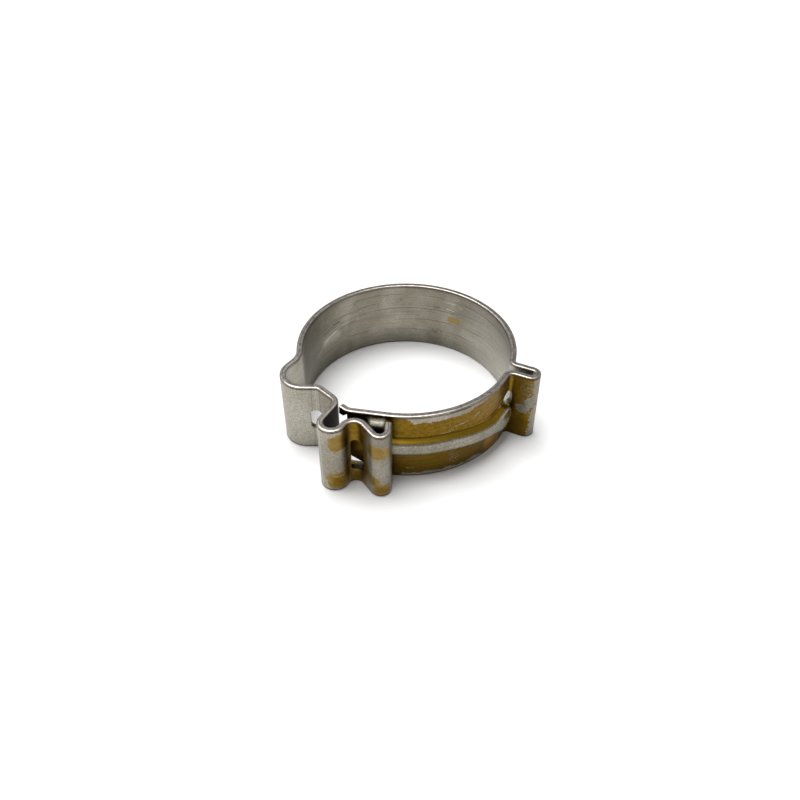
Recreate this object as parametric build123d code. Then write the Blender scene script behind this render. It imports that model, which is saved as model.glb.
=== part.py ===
from build123d import *
import math
import os

# Open ear hose clamp: one strip of spring steel folded on its flat, lying with its bore upright.
# Millimetres. +Z is the bore axis, Z = 0 the lower edge of the strip, the origin the centre of the bore.
# The hook head and its catch are on the -Y side, the large open ear on -X, the closed ear on +X.

# ---- strip ----
strip_width = 10.0
strip_thickness = 0.8
edge_break = 0.15
bore_radius = 13.6

# ---- closed ear: a flat fold standing out of the ring ----
ear_direction = -25.4
ear_offset = 1.29
ear_gap = 0.9
ear_reach = 16.7
ear_front_bend = 0.9
ear_back_bend = 0.8

# ---- head: it spans a chord of the ring, from the mouth of the open ear to the seat of the catch ----
head_direction = 223.0
head_chord = 16.85
flank_direction = 234.5
loop_inset = 1.4
loop_out = 2.9

# ---- open ear and hook: flats by length, bends by centre-line radius and turn ----
mouth_bend = 3.2
loop_bend = 2.7
wall_flat = 1.6
nose_bend_1, nose_turn_1 = 0.9, 45.5
nose_setback = 14.7
nose_bend_2, nose_turn_2 = 1.45, 73.0
rise_flat = 2.5
lobe_bend, lobe_turn = 1.4, 185.5
valley_bend, valley_turn = 1.4, 122.5
hook_flat = 2.05
hook_bend, hook_turn = 0.95, 142.5
lip_flat = 1.35

# ---- inner end of the strip, behind the hook: a flat seat, then a forked tip short of the nose ----
seat_flat = 4.3
tip_bend, tip_turn = 1.5, 32.0
tip_flat = 1.7
tip_clearance = 0.16
fork_rail = 1.05
fork_root = 4.32
fork_relief = 0.5
fork_toe = 1.92
fork_corner_z = 3.35

# ---- catch pressed out of the seat, held by the lip ----
catch_start = 0.45
catch_length = 1.9
catch_height = 0.95
catch_draft = 0.4
catch_corner = 0.3
catch_margin_top = 0.9
catch_margin_bottom = 1.8

# ---- stiffening rib pressed out of the front of the ring ----
rib_start = 0.49
rib_end_clearance = 1.12
rib_rise = 0.9
rib_draft = 0.65
rib_half_crest = 0.85
rib_end_crest = 1.2

# ---- cut-outs ----
window_shift = 0.45
window_width = 1.55
window_bottom, window_top = 2.15, 7.05
window_corner = 0.45
slot_shift = -0.15
slot_width = 2.15
slot_bottom, slot_top = 3.3, 6.3
slot_corner = 0.6
hole_clearance = 0.4
hole_width = 2.2
hole_height = 4.4

half = strip_thickness / 2
mid_height = strip_width / 2
ring_radius = bore_radius + half


def toward(angle):
    """Unit vector at an angle."""
    return Vector(math.cos(math.radians(angle)), math.sin(math.radians(angle)))


def on_ring(angle):
    return toward(angle) * ring_radius


def ring_turn(arc_length):
    """Angle that a length of strip takes up on the ring."""
    return math.degrees(arc_length / ring_radius)


def flat_or_bend(point, heading, length=0.0, radius=0.0, turn=0.0):
    """One flat or one bend: three points with their left normals, then where it leaves off."""
    side = toward(heading + 90.0)
    if radius == 0.0:
        end = point + toward(heading) * length
        return [(point, side), (None, side), (end, side)], end, heading
    sign = 1.0 if turn > 0 else -1.0
    centre = point + side * (radius * sign)
    stations = []
    for share in (0.0, 0.5, 1.0):
        side = toward(heading + turn * share + 90.0)
        stations.append((centre - side * (radius * sign), side))
    return stations, stations[2][0], heading + turn


def folded(point, heading, moves):
    """Centre line of a folded length of strip."""
    pieces = []
    for move in moves:
        piece, point, heading = flat_or_bend(point, heading, **move)
        pieces.append(piece)
    return pieces


def flat(length):
    return dict(length=length)


def bend(radius, turn):
    return dict(radius=radius, turn=turn)


def backwards(pieces):
    return [[(p, side * -1.0) for p, side in reversed(piece)] for piece in reversed(pieces)]


def face_line(piece, offset):
    """Edge of the strip `offset` to the left of its centre line."""
    (first, n0), (middle, n1), (last, n2) = piece
    if middle is None:
        return Line(first + n0 * offset, last + n2 * offset)
    return ThreePointArc(first + n0 * offset, middle + n1 * offset, last + n2 * offset)


def cut_at_x(edge, x):
    """The straight edge, starting where it crosses x."""
    start, end = edge @ 0, edge @ 1
    return Line(start + (end - start) * ((x - start.X) / (end.X - start.X)), end)


def along_to_ring(side, radius):
    """How far along a line `side` off the bore axis a bend tangent to the ring has its centre."""
    return math.sqrt((ring_radius + radius) ** 2 - side**2)


# ---- where the closed ear leaves and meets the ring ----
leaf_offset = (ear_gap + strip_thickness) / 2
front_side = ear_offset - leaf_offset - ear_front_bend
front_along = along_to_ring(front_side, ear_front_bend)
front_angle = ear_direction + math.degrees(math.atan2(front_side, front_along))
back_side = ear_offset + leaf_offset + ear_back_bend
back_along = along_to_ring(back_side, ear_back_bend)
back_angle = ear_direction + math.degrees(math.atan2(back_side, back_along))
ear_moves = [
    bend(ear_front_bend, ear_direction - (front_angle + 90.0)),
    flat(ear_reach - front_along),
    bend(leaf_offset, 180.0),
    flat(ear_reach - back_along),
    bend(ear_back_bend, (back_angle + 90.0) - (ear_direction + 180.0)),
]

# ---- where the head leaves the ring at its mouth and comes down over the seat ----
chord_half_angle = math.degrees(math.asin(head_chord / 2 / ring_radius))
chord_distance = ring_radius * math.cos(math.radians(chord_half_angle))
seat_angle = head_direction + chord_half_angle
seat_root = on_ring(seat_angle)
loop_start = toward(head_direction) * (chord_distance + loop_out)
loop_start += toward(head_direction + 90.0) * (loop_inset - head_chord / 2)
mouth_side = loop_start.dot(toward(flank_direction + 90.0)) - mouth_bend
mouth_along = along_to_ring(mouth_side, mouth_bend)
mouth_angle = flank_direction + math.degrees(math.atan2(mouth_side, mouth_along))
head_moves = [
    bend(mouth_bend, flank_direction - (mouth_angle + 90.0)),
    flat(loop_start.dot(toward(flank_direction)) - mouth_along),
    bend(loop_bend, 360.0 - flank_direction),
    flat(wall_flat),
    bend(nose_bend_1, -nose_turn_1),
    flat(head_chord - nose_setback),
    bend(nose_bend_2, -nose_turn_2),
    flat(rise_flat),
    bend(lobe_bend, lobe_turn),
    bend(valley_bend, -valley_turn),
    flat(hook_flat),
    bend(hook_bend, hook_turn),
    flat(lip_flat),
]

# ---- the whole centre line, from the forked inner end round to the lip ----
inner_end = backwards(
    folded(
        seat_root,
        seat_angle - 90.0,
        [flat(seat_flat), bend(tip_bend, -tip_turn), flat(tip_flat)],
    )
)
front_arc = folded(seat_root, seat_angle + 90.0, [bend(ring_radius, front_angle + 360.0 - seat_angle)])
closed_ear = folded(on_ring(front_angle), front_angle + 90.0, ear_moves)
back_arc = folded(on_ring(back_angle), back_angle + 90.0, [bend(ring_radius, mouth_angle - back_angle)])
head = folded(on_ring(mouth_angle), mouth_angle + 90.0, head_moves)
wall, nose_1, nose_2, valley = head[3], head[4], head[6], head[9]
centre_line = inner_end + front_arc + closed_ear + back_arc + head

# The tip stops short of the nose, which bulges towards it.
nose_start, nose_side = nose_2[0]
nose_face_x = (nose_start - nose_side * nose_bend_2).X + nose_bend_2 + half
tip_end_x = nose_face_x + tip_clearance

inside_edges = [face_line(piece, half) for piece in centre_line]
outside_edges = [face_line(piece, -half) for piece in centre_line]
inside_edges[0] = cut_at_x(inside_edges[0], tip_end_x)
outside_edges[0] = cut_at_x(outside_edges[0], tip_end_x)
inner_cap = Line(outside_edges[0] @ 0, inside_edges[0] @ 0)
lip_cap = Line(inside_edges[-1] @ 1, outside_edges[-1] @ 1)
outline = make_face(Curve() + inside_edges + [lip_cap] + outside_edges + [inner_cap])
clamp = extrude(outline, strip_width)
flat_ends = clamp.faces().sort_by(Axis.Z)
clamp = chamfer(flat_ends[0].edges() + flat_ends[-1].edges(), edge_break)


# ---- rib: a bead round the front of the ring, hollow behind ----
def bead(inner, crest, half_crest, end_crest, start, end):
    """Ridge of one section swept round the bore axis, rounded at its start and blunt at its end."""
    half_root = half_crest + rib_draft * (crest - inner)

    def section(low_root, low_crest, high_crest):
        return make_face(
            Polyline(
                (inner, 0, mid_height - low_root),
                (crest, 0, mid_height - low_crest),
                (crest, 0, mid_height + high_crest),
                (inner, 0, mid_height + half_root),
                close=True,
            )
        )

    radius_line = Axis((0, 0, mid_height), (1, 0, 0))
    swept = revolve(section(half_root, half_crest, half_crest), Axis.Z, end - start)
    near_end = revolve(section(0, 0, half_crest), radius_line, 180)
    far_end = revolve(section(0, 0, end_crest), radius_line, -180)
    return swept.rotate(Axis.Z, start) + near_end.rotate(Axis.Z, start) + far_end.rotate(Axis.Z, end)


rib_start_angle = seat_angle + ring_turn(rib_start)
rib_end_angle = front_angle + 360.0 - ring_turn(rib_end_clearance)
rib_crest = bore_radius + strip_thickness + rib_rise
ridge = bead(ring_radius, rib_crest, rib_half_crest, rib_end_crest, rib_start_angle, rib_end_angle)
groove = bead(
    bore_radius - half,
    rib_crest - strip_thickness,
    rib_half_crest - half,
    rib_end_crest - half,
    rib_start_angle,
    rib_end_angle,
)
clamp = clamp + ridge - groove

# ---- catch: a block pressed out of the seat, hollow behind ----
seat_frame = Plane(origin=seat_root, x_dir=toward(seat_angle + 90.0), z_dir=toward(seat_angle))
catch_bottom, catch_top = catch_margin_bottom, strip_width - catch_margin_top


def pressed_block(grow, low, high):
    """Block with sloping sides standing on the seat between two heights above the centre line."""
    middle = Pos(-catch_start - catch_length / 2, (catch_bottom + catch_top) / 2)
    outlines = []
    for height, spread in ((low, grow + catch_draft), (high, grow)):
        length = catch_length + 2 * spread
        width = catch_top - catch_bottom + 2 * spread
        outlines.append(seat_frame.offset(height) * middle * RectangleRounded(length, width, catch_corner))
    return loft(outlines)


catch_block = pressed_block(0.0, 0.0, half + catch_height)
catch_hollow = pressed_block(-half, -strip_thickness, catch_height - half)
clamp = clamp + catch_block - catch_hollow


def facing_front(y):
    """Upright plane facing -Y, drawn in X and Z."""
    return Plane(origin=(0, y, 0), x_dir=(1, 0, 0), z_dir=(0, -1, 0))


def upright_slot(centre_x, width, bottom, top, corner):
    return Pos(centre_x, (bottom + top) / 2) * RectangleRounded(width, top - bottom, corner)


# ---- fork: the middle of the inner end is cut away, leaving a rail above and below ----
fork_root_x = seat_root.X - fork_root
fork_toe_x = seat_root.X - fork_toe
fork_far_x = tip_end_x - tip_clearance / 2
fork = Polyline(
    (fork_far_x, strip_width - fork_rail),
    (fork_root_x - fork_relief, strip_width - fork_rail),
    (fork_root_x, strip_width - fork_rail / 2),
    (fork_root_x, fork_corner_z),
    (fork_toe_x, fork_rail),
    (fork_far_x, fork_rail),
    close=True,
)
clamp -= extrude(facing_front(seat_root.Y - half) * make_face(fork), -4 * strip_thickness)

# ---- window in the valley of the hook ----
valley_middle = valley[1][0]
window = upright_slot(valley_middle.X + window_shift, window_width, window_bottom, window_top, window_corner)
clamp -= extrude(facing_front(valley_middle.Y + strip_thickness) * window, valley_bend + strip_thickness)

# ---- slot through the corner between the wall of the open ear and the nose ----
slot_middle = nose_1[1][0]
slot = upright_slot(slot_middle.X + slot_shift, slot_width, slot_bottom, slot_top, slot_corner)
clamp -= extrude(facing_front(wall[0][0].Y + strip_thickness) * slot, 4 * strip_thickness)

# ---- oval hole where the rib meets the closed ear ----
hole_angle = front_angle - ring_turn(hole_clearance)
hole_plane = Plane(
    origin=toward(hole_angle) * (bore_radius - strip_thickness) + Vector(0, 0, mid_height),
    x_dir=toward(hole_angle + 90.0),
    z_dir=toward(hole_angle),
)
clamp -= extrude(hole_plane * SlotOverall(hole_height, hole_width, rotation=90), 3 * strip_thickness)

os.makedirs("parts", exist_ok=True)
clamp.label = "clamp_band"
export_step(clamp, "parts/clamp_band.step")
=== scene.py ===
import math

import bmesh
import bpy
from mathutils import Matrix, Vector


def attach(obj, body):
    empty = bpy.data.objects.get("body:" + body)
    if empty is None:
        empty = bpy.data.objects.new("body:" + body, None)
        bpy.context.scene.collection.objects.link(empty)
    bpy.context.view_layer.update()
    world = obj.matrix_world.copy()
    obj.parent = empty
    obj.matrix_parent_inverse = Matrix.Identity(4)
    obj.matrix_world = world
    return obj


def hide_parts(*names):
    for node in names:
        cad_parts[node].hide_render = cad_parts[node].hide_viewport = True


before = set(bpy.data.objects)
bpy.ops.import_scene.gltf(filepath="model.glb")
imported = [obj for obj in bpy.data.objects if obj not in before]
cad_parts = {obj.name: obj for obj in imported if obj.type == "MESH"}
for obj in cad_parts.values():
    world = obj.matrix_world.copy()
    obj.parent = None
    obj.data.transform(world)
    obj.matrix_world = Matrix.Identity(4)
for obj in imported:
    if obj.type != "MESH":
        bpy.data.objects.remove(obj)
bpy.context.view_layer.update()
MM = 0.001

# ==================================================================================================
# The fold plan. The clamp is one length of spring steel strip, folded round mandrels. The plan is
# its centre line seen from above, in millimetres: flats by length, bends by radius and turn, laid
# out from the root of the seat, where the ring's front arc begins.
STRIP_WIDTH = 10.0
STRIP_THICKNESS = 0.8
BORE_RADIUS = 13.6
HALF = STRIP_THICKNESS / 2
MID_HEIGHT = STRIP_WIDTH / 2
RING_RADIUS = BORE_RADIUS + HALF

EAR_DIRECTION, EAR_OFFSET, EAR_GAP, EAR_REACH = -25.4, 1.29, 0.9, 16.7
EAR_FRONT_BEND, EAR_BACK_BEND = 0.9, 0.8
HEAD_DIRECTION, HEAD_CHORD = 223.0, 16.85
FLANK_DIRECTION, LOOP_INSET, LOOP_OUT = 234.5, 1.4, 2.9
MOUTH_BEND = 3.2
NOSE_SETBACK = 14.7
TIP_CLEARANCE = 0.16
TIP_TURN = 32.0

PRESSED_STEP = 0.2
FOLD_STEP = 0.5
BEND_STEP = 6.0


def toward(angle):
    return Vector((math.cos(math.radians(angle)), math.sin(math.radians(angle))))


def along_to_ring(side, radius):
    """How far along a line `side` off the bore axis a bend tangent to the ring has its centre."""
    return math.sqrt((RING_RADIUS + radius) ** 2 - side**2)


def laid_out(start, heading, folds):
    """Points along a run of folds, the index at which each fold starts, and the last heading."""
    points, starts = [start], {}
    for name, size, turn in folds:
        starts[name] = len(points) - 1
        length = abs(math.radians(turn)) * size if turn else size
        step = PRESSED_STEP if name in ("seat", "front arc") else FOLD_STEP
        steps = max(math.ceil(length / step), math.ceil(abs(turn) / BEND_STEP))
        hand = math.copysign(1.0, turn)
        centre = points[-1] + toward(heading + 90.0) * (size * hand)
        for share in (k / steps for k in range(1, steps + 1)):
            if turn:
                points.append(centre - toward(heading + turn * share + 90.0) * (size * hand))
            else:
                points.append(points[-1] + toward(heading) * (size / steps))
        heading += turn
    return points, starts, heading


leaf_offset = (EAR_GAP + STRIP_THICKNESS) / 2
front_side = EAR_OFFSET - leaf_offset - EAR_FRONT_BEND
front_along = along_to_ring(front_side, EAR_FRONT_BEND)
front_angle = EAR_DIRECTION + math.degrees(math.atan2(front_side, front_along))
back_side = EAR_OFFSET + leaf_offset + EAR_BACK_BEND
back_along = along_to_ring(back_side, EAR_BACK_BEND)
back_angle = EAR_DIRECTION + math.degrees(math.atan2(back_side, back_along))

chord_half_angle = math.degrees(math.asin(HEAD_CHORD / 2 / RING_RADIUS))
seat_angle = HEAD_DIRECTION + chord_half_angle
seat_root = toward(seat_angle) * RING_RADIUS
chord_distance = RING_RADIUS * math.cos(math.radians(chord_half_angle))
loop_start = toward(HEAD_DIRECTION) * (chord_distance + LOOP_OUT)
loop_start += toward(HEAD_DIRECTION + 90.0) * (LOOP_INSET - HEAD_CHORD / 2)
mouth_side = loop_start.dot(toward(FLANK_DIRECTION + 90.0)) - MOUTH_BEND
mouth_along = along_to_ring(mouth_side, MOUTH_BEND)
mouth_angle = FLANK_DIRECTION + math.degrees(math.atan2(mouth_side, mouth_along))

ROUND_FROM_SEAT = [
    ("front arc", RING_RADIUS, front_angle + 360.0 - seat_angle),
    ("ear front bend", EAR_FRONT_BEND, EAR_DIRECTION - (front_angle + 90.0)),
    ("ear front leaf", EAR_REACH - front_along, 0.0),
    ("ear end", leaf_offset, 180.0),
    ("ear back leaf", EAR_REACH - back_along, 0.0),
    ("ear back bend", EAR_BACK_BEND, back_angle + 90.0 - (EAR_DIRECTION + 180.0)),
    ("back arc", RING_RADIUS, mouth_angle - back_angle),
    ("mouth bend", MOUTH_BEND, FLANK_DIRECTION - (mouth_angle + 90.0)),
    ("flank", loop_start.dot(toward(FLANK_DIRECTION)) - mouth_along, 0.0),
    ("loop", 2.7, 360.0 - FLANK_DIRECTION),
    ("wall", 1.6, 0.0),
    ("nose bend 1", 0.9, -45.5),
    ("nose", HEAD_CHORD - NOSE_SETBACK, 0.0),
    ("nose bend 2", 1.45, -73.0),
    ("rise", 2.5, 0.0),
    ("left lobe", 1.4, 185.5),
    ("valley", 1.4, -122.5),
    ("hook", 2.05, 0.0),
    ("right lobe", 0.95, 142.5),
    ("lip", 1.35, 0.0),
]
ring_and_head, starts, _ = laid_out(seat_root, seat_angle + 90.0, ROUND_FROM_SEAT)

nose_face_x = max(p.x for p in ring_and_head[starts["nose bend 2"] : starts["rise"]]) + HALF
tip_folds = [("seat", 4.3, 0.0), ("tip bend", 1.5, -TIP_TURN)]
seat_and_bend, _, tip_heading = laid_out(seat_root, seat_angle - 90.0, tip_folds)
tip_corner_x = seat_and_bend[-1].x - HALF * abs(toward(tip_heading + 90.0).x)
tip_length = (tip_corner_x - nose_face_x - TIP_CLEARANCE) / -toward(tip_heading).x
inner_end, _, _ = laid_out(seat_root, seat_angle - 90.0, tip_folds + [("tip", tip_length, 0.0)])
centre_line = inner_end[:0:-1] + ring_and_head
seat_start = sum((b - a).length for a, b in zip(inner_end, inner_end[1:]))


def length_to(name):
    """Length of strip from the inner end's tip to the start of a fold."""
    line = ring_and_head[: starts[name] + 1]
    return seat_start + sum((b - a).length for a, b in zip(line, line[1:]))


# ==================================================================================================
# The piercing tools. Window, slot, oval hole and the fork of the inner end are punched through the
# strip. Each tool is a closed prism of its outline that passes through the wall it pierces.
CORNER_STEPS = 6


def rounded_outline(width, height, corner, centre):
    """Rounded rectangle in a plane, anticlockwise."""
    points = []
    for quarter, (sx, sy) in enumerate(((1, 1), (-1, 1), (-1, -1), (1, -1))):
        middle_x = centre[0] + sx * (width / 2 - corner)
        middle_y = centre[1] + sy * (height / 2 - corner)
        middle = Vector((middle_x, middle_y))
        for k in range(CORNER_STEPS + 1):
            points.append(middle + toward(90.0 * (quarter + k / CORNER_STEPS)) * corner)
    return points


def punch(mesh, outline, origin, across, through, depth):
    """Adds a prism whose outline runs `across` and up, and whose depth runs `through`."""
    rings = []
    for travel in (0.0, depth):
        foot = origin + through * travel
        places = [foot + across * p.x + Vector((0, 0, p.y)) for p in outline]
        rings.append([mesh.verts.new(place * MM) for place in places])
    near, far = rings
    mesh.faces.new(near)
    mesh.faces.new(far[::-1])
    for k in range(len(outline)):
        nxt = (k + 1) % len(outline)
        mesh.faces.new((near[k], far[k], far[nxt], near[nxt]))


FRONTWARD = Vector((0.0, -1.0, 0.0))
SIDEWARD = Vector((1.0, 0.0, 0.0))
WINDOW_WIDTH, WINDOW_BOTTOM, WINDOW_TOP = 1.55, 2.15, 7.05
WINDOW_CORNER, WINDOW_SHIFT, WINDOW_DEPTH = 0.45, 0.45, 2.2
SLOT_WIDTH, SLOT_BOTTOM, SLOT_TOP = 2.15, 3.3, 6.3
SLOT_CORNER, SLOT_SHIFT, SLOT_DEPTH = 0.6, -0.15, 4 * STRIP_THICKNESS
HOLE_WIDTH, HOLE_HEIGHT, HOLE_CORNER = 1.4, 2.3, 1.4 / 2 - 0.001
HOLE_SHIFT, HOLE_LEVEL, HOLE_TURN = 0.3, 6.15, 52.0
HOLE_BEHIND, HOLE_DEPTH = 1.6 * STRIP_THICKNESS, 3 * STRIP_THICKNESS
FORK_RAIL, FORK_ROOT, FORK_RELIEF, FORK_TOE = 1.05, 4.75, 0.5, 1.92
FORK_CORNER_Z, FORK_DEPTH = 2.85, 4 * STRIP_THICKNESS


def middle_of(name, following):
    """The middle point of a fold on the centre line."""
    return ring_and_head[(starts[name] + starts[following]) // 2]


tools = bmesh.new()
window_level = (WINDOW_BOTTOM + WINDOW_TOP) / 2
window_height = WINDOW_TOP - WINDOW_BOTTOM
window = rounded_outline(WINDOW_WIDTH, window_height, WINDOW_CORNER, (0.0, window_level))
valley = middle_of("valley", "hook")
valley_place = Vector((valley.x + WINDOW_SHIFT, valley.y + STRIP_THICKNESS, 0.0))
punch(tools, window, valley_place, SIDEWARD, FRONTWARD, WINDOW_DEPTH)

slot_level = (SLOT_BOTTOM + SLOT_TOP) / 2
slot = rounded_outline(SLOT_WIDTH, SLOT_TOP - SLOT_BOTTOM, SLOT_CORNER, (0.0, slot_level))
corner = middle_of("nose bend 1", "nose")
wall_y = ring_and_head[starts["wall"]].y
slot_place = Vector((corner.x + SLOT_SHIFT, wall_y + STRIP_THICKNESS, 0.0))
punch(tools, slot, slot_place, SIDEWARD, FRONTWARD, SLOT_DEPTH)

hole = rounded_outline(HOLE_WIDTH, HOLE_HEIGHT, HOLE_CORNER, (HOLE_SHIFT, HOLE_LEVEL))
hole_facing = toward(front_angle - HOLE_TURN).to_3d()
hole_sideward = toward(front_angle - HOLE_TURN + 90.0).to_3d()
hole_place = ring_and_head[starts["ear front bend"]].to_3d() - hole_facing * HOLE_BEHIND
punch(tools, hole, hole_place, hole_sideward, hole_facing, HOLE_DEPTH)

fork_far_x = nose_face_x + TIP_CLEARANCE / 2
fork = [
    Vector((fork_far_x, FORK_RAIL)),
    Vector((seat_root.x - FORK_TOE, FORK_RAIL)),
    Vector((seat_root.x - FORK_ROOT, FORK_CORNER_Z)),
    Vector((seat_root.x - FORK_ROOT, STRIP_WIDTH - FORK_RAIL / 2)),
    Vector((seat_root.x - FORK_ROOT - FORK_RELIEF, STRIP_WIDTH - FORK_RAIL)),
    Vector((fork_far_x, STRIP_WIDTH - FORK_RAIL)),
]
fork_place = Vector((0.0, seat_root.y - HALF, 0.0))
punch(tools, fork, fork_place, SIDEWARD, -FRONTWARD, FORK_DEPTH)

bmesh.ops.recalc_face_normals(tools, faces=tools.faces)
tool_mesh = bpy.data.meshes.new("piercing_tools")
tools.to_mesh(tool_mesh)
tools.free()
piercing_tools = bpy.data.objects.new("piercing_tools", tool_mesh)
bpy.context.scene.collection.objects.link(piercing_tools)


# ==================================================================================================
# The strip itself, steel 0.8 mm thick with rolled edges. A rounded section is swept along the plan,
# the rib and the catch are pressed outwards by a rule of length and height, the tools are taken
# away, and every point keeps its place on the flat strip for the finish to follow.
class Value:
    """One output of a node. Arithmetic on it adds Math nodes to the same tree."""

    def __init__(self, tree, socket):
        self.tree, self.socket = tree, socket

    def math(self, operation, *others):
        sockets = dict(enumerate((self, *others)))
        return node(self.tree, "ShaderNodeMath", {"operation": operation}, sockets)

    def __add__(self, other):
        return self.math("ADD", other)

    def __mul__(self, other):
        return self.math("MULTIPLY", other)

    def __sub__(self, other):
        return self.math("SUBTRACT", other)

    def __truediv__(self, other):
        return self.math("DIVIDE", other)

    def __rsub__(self, other):
        return node(self.tree, "ShaderNodeMath", {"operation": "SUBTRACT"}, {0: other, 1: self})

    __radd__ = __add__
    __rmul__ = __mul__

    def __neg__(self):
        return self * -1.0

    def size(self):
        return self.math("ABSOLUTE")

    def at_least(self, other):
        return self.math("MAXIMUM", other)

    def at_most(self, other):
        return self.math("MINIMUM", other)

    def eased(self, start, end):
        """0 before `start`, 1 past `end`, eased in between; the two may fall either way round."""
        sockets = {"Value": self, "From Min": start, "From Max": end, "To Min": 0.0, "To Max": 1.0}
        return node(self.tree, "ShaderNodeMapRange", {"interpolation_type": "SMOOTHSTEP"}, sockets)

    def part(self, axis):
        return node(self.tree, "ShaderNodeSeparateXYZ", {}, {0: self}, axis)


def node(tree, kind, settings, sockets, output=0):
    """Any node: its type, its settings, and its sockets' values or links by name or place."""
    made = tree.nodes.new(kind)
    for key, setting in settings.items():
        setattr(made, key, setting)
    for key, given in sockets.items():
        socket = made.inputs[key]
        if isinstance(given, Value):
            tree.links.new(given.socket, socket)
        else:
            socket.default_value = given
    return Value(tree, made.outputs[output])


def distance(a, b):
    """Length of the diagonal of two lengths at right angles."""
    return (a * a + b * b).math("SQRT")


def captured(tree, geometry, kind, given):
    """Keeps a value of the points of a geometry, to be used once they have been swept."""
    made = tree.nodes.new("GeometryNodeCaptureAttribute")
    made.capture_items.new(kind, "kept")
    tree.links.new(geometry.socket, made.inputs[0])
    tree.links.new(given.socket, made.inputs[1])
    return Value(tree, made.outputs[0]), Value(tree, made.outputs[1])


press = bpy.data.node_groups.new("pressed_strip", "GeometryNodeTree")
press.interface.new_socket("Fold Line", in_out="INPUT", socket_type="NodeSocketGeometry")
press.interface.new_socket("Clamp", in_out="OUTPUT", socket_type="NodeSocketGeometry")
PRESS_SIZES = {
    "Strip Width": STRIP_WIDTH,
    "Strip Thickness": STRIP_THICKNESS,
    "Edge Round": 0.17,
    "Step Across": 0.2,
    "Rib Start": seat_start + 0.49,
    "Rib End": length_to("ear front bend") - 1.65,
    "Rib Rise": 0.9,
    "Rib Crest": 0.75,
    "Rib End Crest": 1.6,
    "Rib Draft": 0.65,
    "Rib Above Middle": 0.3,
    "Rib Fall": 0.95,
    "Catch Middle": seat_start - 1.0,
    "Catch Half Length": 0.75,
    "Catch Bottom": 2.0,
    "Catch Top": 8.85,
    "Catch Height": 0.95,
    "Catch Draft": 0.75,
    "Unevenness": 0.03,
}
size_sockets = {}
for name, size in PRESS_SIZES.items():
    socket = press.interface.new_socket(name, in_out="INPUT", socket_type="NodeSocketFloat")
    socket.default_value = size
    size_sockets[name] = socket.identifier
tool_socket = press.interface.new_socket(
    "Piercing Tools", in_out="INPUT", socket_type="NodeSocketObject"
)

entry = press.nodes.new("NodeGroupInput")
given = {item.name: Value(press, item) for item in entry.outputs if item.name}
width, thickness = given["Strip Width"], given["Strip Thickness"]

section = node(
    press,
    "GeometryNodeCurvePrimitiveQuadrilateral",
    {},
    {"Width": thickness * MM, "Height": width * MM},
)
section = node(
    press,
    "GeometryNodeFilletCurve",
    {"mode": "POLY"},
    {"Curve": section, "Count": 3, "Radius": given["Edge Round"] * MM},
)
here = node(press, "GeometryNodeInputPosition", {}, {})
CORNER_COUNT = 4
next_index = node(press, "GeometryNodeInputIndex", {}, {}) + 1.0
next_index = next_index.math("MODULO", 4.0 * CORNER_COUNT)
next_point = node(
    press,
    "GeometryNodeFieldAtIndex",
    {"data_type": "FLOAT_VECTOR"},
    {"Value": here, "Index": next_index},
)
between = {0: here, 1: next_point}
segment = node(press, "ShaderNodeVectorMath", {"operation": "DISTANCE"}, between, "Value")
cuts = (segment / (given["Step Across"] * MM)).math("FLOOR")
section = node(press, "GeometryNodeSubdivideCurve", {}, {"Curve": section, "Cuts": cuts})
section, across = captured(press, section, "VECTOR", here)

run = node(press, "GeometryNodeSplineParameter", {}, {}, "Length")
tangent = node(press, "GeometryNodeInputTangent", {}, {})
outward = node(
    press,
    "ShaderNodeVectorMath",
    {"operation": "CROSS_PRODUCT"},
    {0: tangent, 1: (0.0, 0.0, 1.0)},
)
path, along = captured(press, given["Fold Line"], "FLOAT", run)
path, outward = captured(press, path, "VECTOR", outward)
path = node(press, "GeometryNodeSetCurveNormal", {"mode": "Z_UP"}, {"Curve": path})
swept = node(
    press,
    "GeometryNodeCurveToMesh",
    {},
    {"Curve": path, "Profile Curve": section, "Fill Caps": True},
)

along = along / MM
offset, height = across.part(0) / MM, across.part(1) / -MM
inset = thickness / 2.0 - offset

rib_run = along.at_least(given["Rib Start"]).at_most(given["Rib End"])
rib_fall = along.eased(given["Rib Start"] + 6.0, given["Rib End"] - 1.0) * given["Rib Fall"]
rib_away = distance(along - rib_run, height - given["Rib Above Middle"] + rib_fall)
bluntness = along.eased(given["Rib End"] - 2.5, given["Rib End"])
widening = (given["Rib End Crest"] - given["Rib Crest"]) * bluntness
rib_crest = given["Rib Crest"] + widening - inset * 0.5
rib_root = given["Rib Crest"] + given["Rib Draft"] * given["Rib Rise"]
rib_root = rib_root + widening * 0.5 - inset * 0.5
rib_lift = rib_away.eased(rib_root + 0.12, rib_crest - 0.12) * given["Rib Rise"]

catch_middle = (given["Catch Bottom"] + given["Catch Top"]) / 2.0 - width / 2.0
catch_long = (along - given["Catch Middle"]).size() - given["Catch Half Length"]
catch_long = (catch_long + inset * 0.5).at_least(0.0)
catch_tall = (given["Catch Top"] - given["Catch Bottom"]) / 2.0
catch_high = ((height - catch_middle).size() - catch_tall + inset * 0.5).at_least(0.0)
catch_lift = distance(catch_long, catch_high).eased(given["Catch Draft"], 0.0)
catch_lift = catch_lift * given["Catch Height"]

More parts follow.
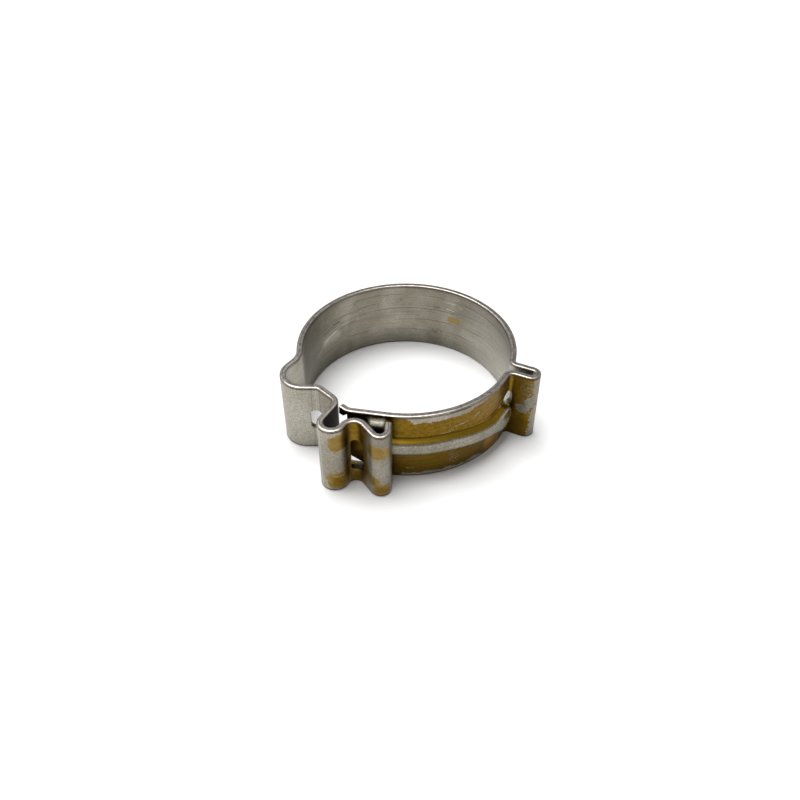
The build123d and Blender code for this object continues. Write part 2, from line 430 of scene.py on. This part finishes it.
lift = rib_lift + catch_lift
place = node(press, "ShaderNodeCombineXYZ", {}, {0: along, 1: offset, 2: height + width / 2.0})
ripple = node(
    press,
    "ShaderNodeTexNoise",
    {"noise_dimensions": "3D"},
    {"Vector": place, "Scale": 0.35, "Detail": 1.0},
)
push = (lift - ripple * given["Unevenness"]) * MM
push = node(press, "ShaderNodeVectorMath", {"operation": "SCALE"}, {0: outward, "Scale": push})
pressed = node(press, "GeometryNodeSetPosition", {}, {"Geometry": swept, "Offset": push})
pressed, place = captured(press, pressed, "VECTOR", place)
pressed, lift = captured(press, pressed, "FLOAT", lift)

tools = node(press, "GeometryNodeObjectInfo", {}, {"Object": given["Piercing Tools"]}, "Geometry")
pierced = node(
    press,
    "GeometryNodeMeshBoolean",
    {"operation": "DIFFERENCE", "solver": "MANIFOLD"},
    {0: pressed, 1: tools},
)
for name, kind, source in (("strip", "FLOAT_VECTOR", place), ("lift", "FLOAT", lift)):
    held = node(
        press,
        "GeometryNodeSampleNearestSurface",
        {"data_type": kind},
        {"Mesh": pressed, "Value": source},
    )
    pierced = node(
        press,
        "GeometryNodeStoreNamedAttribute",
        {"data_type": kind, "domain": "POINT"},
        {"Geometry": pierced, "Name": name, "Value": held},
    )
SHARP_ANGLE = 50.0
edge_angle = node(press, "GeometryNodeInputMeshEdgeAngle", {}, {})
sharp = node(
    press,
    "FunctionNodeCompare",
    {"operation": "GREATER_THAN"},
    {0: edge_angle, 1: math.radians(SHARP_ANGLE)},
)
smooth = node(
    press,
    "GeometryNodeSetShadeSmooth",
    {"domain": "FACE"},
    {"Geometry": pierced, "Shade Smooth": True},
)
creased = node(
    press,
    "GeometryNodeStoreNamedAttribute",
    {"data_type": "BOOLEAN", "domain": "EDGE"},
    {"Geometry": smooth, "Name": "sharp_edge", "Value": sharp},
)
realized = node(press, "GeometryNodeRealizeInstances", {}, {0: creased})
finish = bpy.data.materials.new("worn_plated_steel")
finished = node(press, "GeometryNodeSetMaterial", {}, {"Geometry": realized, "Material": finish})
leave = press.nodes.new("NodeGroupOutput")
press.links.new(finished.socket, leave.inputs[0])

fold_curve = bpy.data.curves.new("fold_line", "CURVE")
fold_curve.dimensions = "3D"
spline = fold_curve.splines.new("POLY")
spline.points.add(len(centre_line) - 1)
for point, target in zip(centre_line, spline.points):
    target.co = (point.x * MM, point.y * MM, MID_HEIGHT * MM, 1.0)
fold_line = bpy.data.objects.new("fold_line", fold_curve)
bpy.context.scene.collection.objects.link(fold_line)
press_modifier = fold_line.modifiers.new("press", "NODES")
press_modifier.node_group = press
for name, identifier in size_sockets.items():
    press_modifier[identifier] = PRESS_SIZES[name]
press_modifier[tool_socket.identifier] = piercing_tools

evaluated = fold_line.evaluated_get(bpy.context.evaluated_depsgraph_get())
band_mesh = bpy.data.meshes.new_from_object(evaluated)
band_mesh.name = "hose_clamp_strip"
clamp_strip = bpy.data.objects.new("hose_clamp_strip", band_mesh)
bpy.context.scene.collection.objects.link(clamp_strip)
bpy.data.objects.remove(fold_line)
bpy.data.objects.remove(piercing_tools)
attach(clamp_strip, "root")
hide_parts("clamp_band")

# ==================================================================================================
# The finish. The strip is zinc plated, with a yellow passivated film over the front of its outer
# face. The film is rubbed off edges, rib crest and folds, and the zinc is drawn, scuffed and
# stained. All of it is laid out on the flat strip: length from the inner tip, height, which face.
finish.use_nodes = True
coat_tree = finish.node_tree
coat_tree.nodes.clear()


def mixed(share, below, above):
    """One colour laid over another."""
    sockets = {0: share, 6: below, 7: above}
    return node(coat_tree, "ShaderNodeMix", {"data_type": "RGBA"}, sockets, 2)


def layered(colour, layers):
    """A colour with others laid over it in turn, each by its share."""
    for share, tone in layers:
        colour = mixed(share, colour, tone)
    return colour


def grain(along, through, upward, detail, roughness=0.5):
    """Noise on the flat strip, leaning a little, with so many grains a millimetre each way."""
    lean = 0.35 * along
    sockets = {
        0: length * along + level * lean,
        1: side * through,
        2: level * upward - length * lean,
    }
    place = node(coat_tree, "ShaderNodeCombineXYZ", {}, sockets)
    sockets = {"Vector": place, "Scale": 1.0, "Detail": detail, "Roughness": roughness}
    return node(coat_tree, "ShaderNodeTexNoise", {"noise_dimensions": "3D"}, sockets)


def patch(length_middle, level_middle, half_length, half_level):
    """Distance outside a block of the flat strip with rounded corners, negative within it."""
    corner = 0.7 * min(half_length, half_level)
    outside_length = (length - length_middle).size() - (half_length - corner)
    outside_level = (level - level_middle).size() - (half_level - corner)
    return distance(outside_length.at_least(0.0), outside_level.at_least(0.0)) - corner


def scratch(start, end, half_width):
    """A fine line between two places on the flat strip, 1 along its middle."""
    run = Vector(end) - Vector(start)
    travel = ((length - start[0]) * run.x + (wavering - start[1]) * run.y) / run.length_squared
    travel = travel.at_least(0.0).at_most(1.0)
    away = distance(length - start[0] - travel * run.x, wavering - start[1] - travel * run.y)
    return away.eased(half_width + 0.06, half_width - 0.02)


def nearest(distances):
    first, *others = distances
    for other in others:
        first = first.at_most(other)
    return first


def strongest(masks):
    first, *others = masks
    for other in others:
        first = first.at_least(other)
    return first


def scratches(places):
    return strongest([scratch(*place) for place in places])


def lines_across(lengths, start, end):
    """Upright lines over the strip's whole height at some lengths."""
    return strongest([(length - place).size().eased(start, end) for place in lengths])


# Where a point lies on the flat strip, how far the metal was pressed out there, and on which part
flat_place = node(coat_tree, "ShaderNodeAttribute", {"attribute_name": "strip"}, {}, "Vector")
length, side, level = flat_place.part(0), flat_place.part(1), flat_place.part(2)
lifted = node(coat_tree, "ShaderNodeAttribute", {"attribute_name": "lift"}, {}, "Fac")

outer = side.eased(0.27, 0.36)
inner = side.eased(-0.27, -0.36)
edge_on = 1.0 - outer.at_least(inner)
rim = edge_on * (level - MID_HEIGHT).size().eased(4.6, 4.75)
cut_wall = edge_on - rim
on_ear_or_arc = length.eased(40.0, 30.0)
on_ear = length.eased(24.4, 25.0) * on_ear_or_arc
rib_level = MID_HEIGHT + PRESS_SIZES["Rib Above Middle"]
rib_level = rib_level - PRESS_SIZES["Rib Fall"] * length.eased(12.0, 21.5)

wander = grain(0.8, 1.0, 0.8, 2.0)
ragged = grain(2.6, 2.6, 3.2, 4.0, 0.62)
cloud = grain(0.22, 0.6, 0.16, 2.0)
mottle = grain(2.0, 2.0, 2.4, 3.0, 0.6)
specks = grain(7.0, 7.0, 7.0, 2.0)
smear = grain(0.3, 1.0, 2.0, 3.0, 0.6)
drawn = grain(0.10, 2.0, 5.0, 3.0, 0.6)
hairlines = grain(0.09, 2.0, 19.0, 2.0)
wavering = level + ((wander - 0.5) * 0.5 + (mottle - 0.5) * 0.25) * (1.0 - inner * 0.6)

# The yellow film: the front of the ring and of the closed ear, then blocks on the hook's folds.
# Each block is its middle (length, height) and its half sizes. The rubbed ones lie on the closed
# ear, and over the catch.
YELLOW_BLOCKS = [
    (14.4, 5.0, 15.2, 9.0),
    (103.4, 7.9, 1.15, 1.25),
    (104.5, 8.2, 0.75, 1.7),
    (106.3, 8.4, 1.9, 1.9),
    (107.65, 5.4, 0.7, 4.7),
    (104.95, 5.0, 0.3, 3.2),
    (109.6, 7.4, 1.05, 1.15),
    (110.95, 7.3, 0.45, 0.95),
    (103.2, 1.75, 1.35, 1.45),
    (104.5, 2.7, 0.7, 1.6),
    (106.2, 1.15, 1.9, 1.25),
    (109.2, 2.3, 0.95, 1.0),
    (110.2, 1.25, 0.9, 0.9),
    (111.9, 2.2, 0.5, 1.6),
]
RUBBED_BLOCKS = [
    (26.45, 4.9, 0.9, 0.65),
    (27.3, 5.7, 0.5, 0.8),
    (27.65, 5.0, 0.3, 7.0),
    (4.6, 9.0, 1.1, 0.6),
]
top_margin = 9.8 - 0.85 * length.eased(7.6, 9.5) * length.eased(20.5, 15.0)
bottom_margin = 0.12 + 0.5 * length.eased(7.0, 8.0) * length.eased(19.5, 17.5)
yellow = nearest([patch(*block) for block in YELLOW_BLOCKS])
rubbed = [top_margin - level, level - bottom_margin] + [patch(*block) for block in RUBBED_BLOCKS]
rubbed = nearest(rubbed)
torn = (wander - 0.5) * 0.9 + (ragged - 0.5) * 0.75 + (smear - 0.5) * 0.5 * on_ear_or_arc
coated = (yellow.at_least(-rubbed) + torn).eased(0.07, -0.07) * outer
scuffed_ear = patch(26.9, 7.4, 0.7, 1.9).eased(0.5, -0.5)
scuffed_ear = scuffed_ear * (ragged * 0.5 + specks * 0.5).eased(0.42, 0.64)
coated = coated * (1.0 - scuffed_ear * 0.6)

# The rib's crest is rubbed to the steel, but for a spot of yellow on its blunt end
end_spot = patch(22.1, 4.9, 0.75, 0.6)
crest = lifted.eased(0.58, 0.86) * length.eased(24.5, 24.2) * length.eased(5.6, 6.0)
worn_crest = crest * (level - rib_level + torn * 0.35).eased(-1.4, -0.9)
worn_crest = worn_crest * (end_spot + torn * 0.4).eased(-0.08, 0.08)
coated = coated * (1.0 - worn_crest)

# One small block of yellow inside the ring, and the yellow insides of the hook's two lobes,
# darkened nearly black with painted shade
inside_block = (patch(50.62, 5.25, 1.0, 0.47) + (ragged - 0.5) * 0.25).eased(0.05, -0.05) * inner
left_lobe, right_lobe = patch(100.3, 5.0, 3.9, 9.0), patch(110.0, 5.0, 2.4, 9.0)
shaded_lobe_insides = nearest([left_lobe, right_lobe]).eased(0.4, -0.4) * inner
coated = strongest([coated, inside_block, shaded_lobe_insides])

# Scratches and painted glints, each between two places (length, height) with a half width, and
# round smudges
FLECKS = [
    ((13.2, 7.1), (15.9, 7.7), 0.02),
    ((12.3, 6.75), (13.9, 6.85), 0.015),
    ((16.9, 7.8), (17.5, 8.2), 0.01),
    ((20.9, 6.35), (22.7, 6.25), 0.02),
    ((8.2, 1.55), (9.1, 1.4), 0.03),
    ((102.4, 2.5), (103.5, 2.45), 0.03),
    ((103.5, 2.45), (104.5, 3.5), 0.035),
    ((104.0, 7.9), (104.15, 8.5), 0.03),
]
# Painted glints: bright streaks of reflected light on the inner wall.
PAINTED_GLINTS = [
    ((72.2, 4.6), (69.7, 5.2), 0.05),
    ((74.6, 3.2), (71.4, 4.7), 0.01),
    ((52.1, 7.95), (50.4, 8.1), 0.01),
    ((49.9, 7.85), (49.3, 7.8), 0.01),
    ((52.0, 6.9), (50.6, 6.85), 0.01),
    ((38.2, 4.2), (37.4, 3.0), 0.05),
    ((41.0, 1.9), (38.8, 2.6), 0.03),
]
SCRAPES = [
    ((47.0, 8.5), (66.0, 8.7), 0.03),
    ((50.0, 6.4), (69.0, 6.0), 0.03),
    ((46.0, 4.6), (60.0, 4.2), 0.03),
    ((53.0, 2.2), (70.0, 3.2), 0.03),
    ((61.0, 7.5), (77.0, 6.4), 0.03),
    ((43.5, 7.3), (51.0, 6.5), 0.01),
    ((66.0, 5.6), (79.0, 3.6), 0.02),
    ((44.0, 2.6), (57.0, 3.2), 0.01),
    ((69.0, 6.5), (71.5, 6.2), 0.12),
]
RIPPLES = [
    ((18.6, 6.5), (22.2, 6.9), 0.05),
    ((18.9, 7.0), (21.6, 7.9), 0.05),
    ((17.6, 7.2), (20.6, 8.2), 0.03),
]
SMUDGES = [
    (53.6, 2.7, 0.45),
    (52.8, 2.8, 0.3),
    (59.2, 7.6, 0.45),
    (66.1, 8.4, 0.35),
    (41.6, 3.3, 0.35),
    (53.5, 6.7, 0.5),
]
# Lengths of painted shade and painted highlight lines along the bend creases of the loop and the
# left lobe.
SHADED_BEND_LINES, LIT_BEND_LINES = (91.9, 93.35, 99.4), (92.5, 93.0, 101.2)
frayed = specks.eased(0.56, 0.66) * patch(14.1, 2.3, 0.6, 0.8).eased(0.5, -0.5)
flecks = frayed.at_least(scratches(FLECKS)) * outer * specks.eased(0.40, 0.56)
# Painted glints on the inner wall.
painted_glints = scratches(PAINTED_GLINTS) * inner * ragged.eased(0.3, 0.5)
scraped = scratches(SCRAPES) * inner * smear.eased(0.35, 0.55)
ripples = scratches(RIPPLES)
smudged = strongest([patch(a, b, size, size * 0.7).eased(0.3, -0.3) for a, b, size in SMUDGES])
smudged = smudged * inner * mottle.eased(0.42, 0.6)
# A soft smear of painted light on the inner wall.
smear_of_light = patch(70.9, 4.6, 1.7, 0.55).eased(0.7, -0.3) * inner
# Painted shade and painted highlight along the bend creases.
bend_crease_shade = lines_across(SHADED_BEND_LINES, 0.10, 0.03) * outer
bend_crease_highlight = lines_across(LIT_BEND_LINES, 0.12, 0.03) * outer

ZINC = (0.38, 0.355, 0.292, 1.0)
ZINC_SHADE = (0.265, 0.244, 0.191, 1.0)
# Dark zinc for marks, also used as painted shade.
ZINC_DARK = (0.085, 0.076, 0.055, 1.0)
# Worn zinc, also used as painted light.
ZINC_WORN_AND_LIT = (0.47, 0.45, 0.395, 1.0)
# Near-white zinc for painted glints.
ZINC_GLINT = (0.75, 0.74, 0.70, 1.0)
YELLOW = (0.225, 0.131, 0.011, 1.0)
# Deep yellow film, also used as painted shade.
YELLOW_DEEP = (0.092, 0.053, 0.0022, 1.0)
YELLOW_DARK = (0.055, 0.030, 0.0012, 1.0)
YELLOW_THIN = (0.30, 0.215, 0.09, 1.0)
# Lighter yellow for a painted highlight.
YELLOW_LIT = (0.36, 0.22, 0.018, 1.0)
YELLOW_ORANGE = (0.42, 0.20, 0.012, 1.0)
SHEARED = (0.42, 0.39, 0.36, 1.0)
SHEARED_DARK = (0.12, 0.095, 0.085, 1.0)
# Painted shade for the dark lines beside the edges.
EDGE_SHADE = (0.06, 0.024, 0.017, 1.0)
PIERCED = (0.07, 0.058, 0.034, 1.0)
# Near-black painted shade for the lobes' insides.
LOBE_SHADE = (0.016, 0.0075, 0.0008, 1.0)

# The zinc: painted light and shade by part, then mottle and specks, drawn lines, and marks
# Painted light on the loop and on the right end of the inner wall; painted shade on the inner
# wall's left end and along its foot.
lit_wall = length.eased(83.0, 85.0) * length.eased(94.5, 93.0)
lit_end = length.eased(50.0, 44.0) * inner
dim_end = length.eased(70.0, 75.0) * length.eased(82.5, 78.0) * inner
dim_foot = inner * level.eased(4.0, 0.5) * length.eased(43.0, 52.0)
past_hook = length.eased(107.0, 108.5)
grime = worn_crest * strongest([specks.eased(0.50, 0.36), drawn.eased(0.46, 0.34)])
zinc = layered(
    ZINC_SHADE,
    [
        (cloud.eased(0.38, 0.62), ZINC),
        (strongest([lit_wall * 0.55, lit_end * 0.8]), ZINC_WORN_AND_LIT),
        (strongest([dim_end * 0.5, dim_foot * 0.45]), ZINC_DARK),
        (mottle.eased(0.48, 0.72) * (0.12 + outer * 0.22), ZINC_WORN_AND_LIT),
        (mottle.eased(0.50, 0.30) * (0.10 + outer * 0.30), ZINC_SHADE),
        (ragged.eased(0.45, 0.30) * (0.12 + outer * 0.3), ZINC_DARK),
        (specks.eased(0.58, 0.42) * (0.26 + outer * 0.12), ZINC_DARK),
        (strongest([on_ear * 0.45, past_hook * 0.2]) * outer, ZINC_DARK),
        (drawn.eased(0.42, 0.3) * 0.4 * inner, ZINC_DARK),
        (hairlines.eased(0.42, 0.30) * 0.6 * inner, ZINC_DARK),
        (hairlines.eased(0.62, 0.72) * 0.5 * inner, ZINC_WORN_AND_LIT),
        (specks.eased(0.35, 0.27) * ragged.eased(0.5, 0.6) * 0.7, ZINC_DARK),
        (strongest([smudged * 0.7, scraped * 0.75]), ZINC_DARK),
        (smear_of_light * 0.45, ZINC_WORN_AND_LIT),
        (bend_crease_shade * 0.35, ZINC_DARK),
        (bend_crease_highlight * 0.5, ZINC_WORN_AND_LIT),
        (painted_glints * 0.6, ZINC_GLINT),
        (grime * 0.45, ZINC_DARK),
    ],
)

# The yellow film: deep on the ear, thin where torn; painted shade below the rib, along its upper
# root and by the seat in the head's shadow; a painted highlight on the rib's upper flank
# Painted shade: the film darkened below the rib, and on the arc by the seat and on the seat in the
# head's shadow.
shade_below_rib = (level - rib_level).eased(-0.9, -1.5) * on_ear_or_arc
head_shadow_near_seat, head_shadow_on_seat = length.eased(7.6, 6.4), length.eased(5.6, 5.0)
deep_film_and_shade = strongest([shade_below_rib * 0.85, on_ear * 0.5, head_shadow_near_seat * 0.8, head_shadow_on_seat])
torn_edge = (yellow + torn).eased(-0.85, 0.0) * (0.25 + length.eased(90.0, 100.0) * 0.3)
on_lobe = length.eased(108.3, 109.2) + length.eased(103.9, 103.2) * length.eased(100.0, 101.0)
thin = strongest([torn_edge, on_lobe * level.eased(4.5, 6.0) * 0.35])
# Painted highlight on the rib's upper flank, which faces the light.
lit_upper_flank = lifted.eased(0.06, 0.2) * (level - rib_level).eased(0.2, 0.6) * on_ear_or_arc
# A painted shade line along the crease at the rib's upper root.
rib_root_shade = lifted.eased(0.0, 0.03) * lifted.eased(0.12, 0.05) * on_ear_or_arc
rib_root_shade = rib_root_shade * length.eased(22.0, 20.0)
near_ear_low = patch(20.6, 1.4, 1.6, 1.2).eased(0.6, -0.4)
amber = layered(
    YELLOW,
    [
        (smear.eased(0.46, 0.28) * 0.55, YELLOW_DEEP),
        (deep_film_and_shade * 0.75, YELLOW_DEEP),
        (mottle.eased(0.62, 0.36) * 0.55, YELLOW_DEEP),
        (specks.eased(0.58, 0.42) * 0.40, YELLOW_DARK),
        (drawn.eased(0.5, 0.68) * 0.22 * (1.0 - on_ear), YELLOW_THIN),
        (thin, YELLOW_THIN),
        (lit_upper_flank * lifted.eased(0.88, 0.75) * 0.75, YELLOW_LIT),
        (rib_root_shade * 0.7, YELLOW_DEEP),
        (strongest([ripples * 0.85, near_ear_low * 0.6]), YELLOW_ORANGE),
        (shaded_lobe_insides, LOBE_SHADE),
        (inside_block * 0.75, YELLOW_THIN),
    ],
)

# The sheared rims with a dark seam along them, the pierced walls, and painted shade lines beside
# the edges
seam = (side - 0.02 + (cloud - 0.5) * 0.35).size().eased(0.10, 0.02) * wander.eased(0.32, 0.5)
sheared = layered(
    SHEARED,
    [(seam * 0.8, SHEARED_DARK), (mottle.eased(0.55, 0.36) * 0.5, SHEARED_DARK)],
)
# Painted shade: a dark line just under the outer top edge, one along the outer foot, and a fainter
# one under the inner top edge.
shade_under_rim = outer * level.eased(9.60, 9.70) * level.eased(9.88, 9.80)
shade_under_rim = shade_under_rim * (0.55 + 0.35 * wander.eased(0.4, 0.55))
shade_over_foot = outer * level.eased(0.36, 0.22)
shade_under_lip = inner * level.eased(9.55, 9.68) * level.eased(9.88, 9.80)
colour = layered(
    zinc,
    [
        (coated, amber),
        (flecks * 0.75, ZINC_WORN_AND_LIT),
        (rim, sheared),
        (cut_wall * (0.9 - mottle.eased(0.5, 0.65) * 0.3), PIERCED),
        (strongest([shade_under_rim, shade_over_foot * 0.6, shade_under_lip * 0.4]), EDGE_SHADE),
    ],
)

dullness = 0.40 - coated * 0.05 - rim * 0.10 + cut_wall * 0.10 + (mottle - 0.5) * 0.16 * outer
dullness = dullness - painted_glints * 0.15 + shaded_lobe_insides * 0.35
# The lobes' insides are made hardly metallic, so their painted shade reads dark.
metal = 1.0 - shaded_lobe_insides * 0.85
relief = hairlines * 0.25 + drawn * 0.3 + mottle * 0.5 * outer + coated * 0.2
relief = relief + ripples * 0.8 + bend_crease_highlight * 0.6
bump_sockets = {"Strength": 0.35, "Distance": 0.00006, "Height": relief}
bump = node(coat_tree, "ShaderNodeBump", {}, bump_sockets)
shade_sockets = {"Base Color": colour, "Metallic": metal, "Roughness": dullness, "Normal": bump}
shade = node(coat_tree, "ShaderNodeBsdfPrincipled", {}, shade_sockets)
surface = coat_tree.nodes.new("ShaderNodeOutputMaterial")
coat_tree.links.new(shade.socket, surface.inputs["Surface"])

# ==================================================================================================
# The studio: a sheet of pale paper under a large soft light from above and behind.
SHEET_SIDE = 3.0
sheet_mesh = bpy.data.meshes.new("studio_sheet")
corners = [(-SHEET_SIDE, -SHEET_SIDE), (SHEET_SIDE, -SHEET_SIDE)]
corners += [(SHEET_SIDE, SHEET_SIDE), (-SHEET_SIDE, SHEET_SIDE)]
sheet_mesh.from_pydata([(x, y, 0.0) for x, y in corners], [], [(0, 1, 2, 3)])
sheet = bpy.data.objects.new("studio_sheet", sheet_mesh)
bpy.context.scene.collection.objects.link(sheet)
paper = bpy.data.materials.new("studio_paper")
paper.use_nodes = True
paper_shader = paper.node_tree.nodes["Principled BSDF"]
paper_shader.inputs["Base Color"].default_value = (0.86, 0.86, 0.86, 1.0)
paper_shader.inputs["Roughness"].default_value = 1.0
paper_shader.inputs["Specular IOR Level"].default_value = 0.0
sheet_mesh.materials.append(paper)

studio = bpy.data.worlds.new("studio")
bpy.context.scene.world = studio
studio.use_nodes = True
sky = studio.node_tree
skyward = node(sky, "ShaderNodeTexCoord", {}, {}, "Generated").part(2)
SKY_STRENGTH, HORIZON_GAIN, HORIZON_TOP = 0.36, 0.55, 0.30
brightness = SKY_STRENGTH + skyward.eased(HORIZON_TOP, 0.0) * HORIZON_GAIN
sky.links.new(brightness.socket, sky.nodes["Background"].inputs["Strength"])
sky.nodes["Background"].inputs["Color"].default_value = (1.0, 1.0, 1.0, 1.0)


def soft_light(name, place, aim, size, power):
    """A square soft box at a place, turned towards what it lights."""
    lamp = bpy.data.lights.new(name, "AREA")
    lamp.size = size
    lamp.energy = power
    light = bpy.data.objects.new(name, lamp)
    light.location = place
    light.rotation_mode = "QUATERNION"
    light.rotation_quaternion = (Vector(aim) - Vector(place)).to_track_quat("-Z", "Y")
    bpy.context.scene.collection.objects.link(light)


soft_light("overhead", (-0.64, 0.56, 3.04), (0.0, 0.0, 0.0), 2.4, 134.0)

bpy.context.scene.view_settings.view_transform = "Standard"

CAMERA_PLACE = Vector((-0.85366, -84.57138, 74.07222)) * MM
CAMERA_ELEVATION = 41.17
CAMERA_ROLL = 0.085
CAMERA_LENS = 36.356
camera_data = bpy.data.cameras.new("camera")
camera_data.lens = CAMERA_LENS
camera_data.sensor_width = 36.0
camera_data.clip_start = 0.005
camera_data.clip_end = 20.0
camera = bpy.data.objects.new("camera", camera_data)
bpy.context.scene.collection.objects.link(camera)
tilt = Matrix.Rotation(math.radians(90.0 - CAMERA_ELEVATION), 4, "X")
roll = Matrix.Rotation(math.radians(CAMERA_ROLL), 4, "Z")
camera.matrix_world = Matrix.Translation(CAMERA_PLACE) @ tilt @ roll
bpy.context.scene.camera = camera
